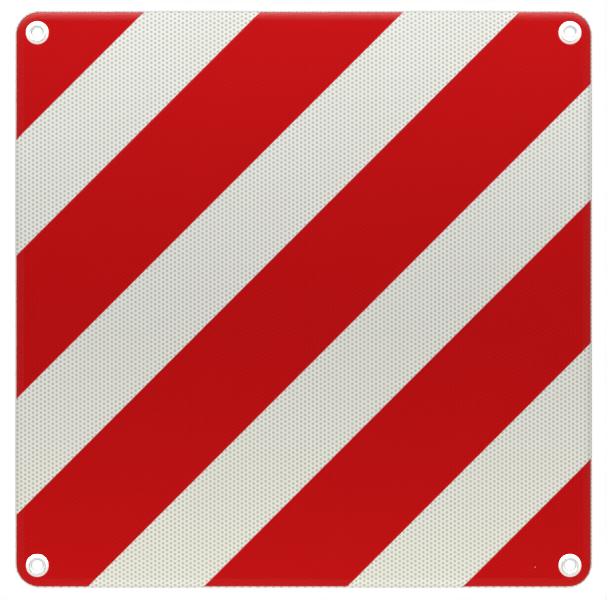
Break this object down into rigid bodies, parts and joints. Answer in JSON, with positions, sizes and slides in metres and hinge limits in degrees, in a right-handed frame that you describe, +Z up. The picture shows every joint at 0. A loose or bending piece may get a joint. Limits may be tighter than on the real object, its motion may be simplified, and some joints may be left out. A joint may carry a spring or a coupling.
{
  "type": "overhanging load sign",
  "caption": "Square aluminium warning panel with a bent-back rim, diagonal red and white reflective stripes and an eyelet in each corner.",
  "frame": {"origin": "centre of the four eyelets, on the plane of the plate's back", "axes": "+Z up, +X to the right seen from the front, +Y from the striped face to the back, so the face looks towards -Y"},
  "size_m": [0.5, 0.008, 0.5],
  "materials": {
    "plate": "mill finish, faint rolling lines",
    "sheeting": "white honeycomb reflective sheeting, satin",
    "red_ink": "transparent red screen ink on the sheeting, satin",
    "eyelet": "satin nickel plate"
  },
  "bodies": {
    "root": {"plate": "plate", "reflective_sheeting": "sheeting", "red_print": "red_ink", "eyelet_top_left": "eyelet", "eyelet_top_right": "eyelet", "eyelet_bottom_left": "eyelet", "eyelet_bottom_right": "eyelet"}
  },
  "joints": []
}
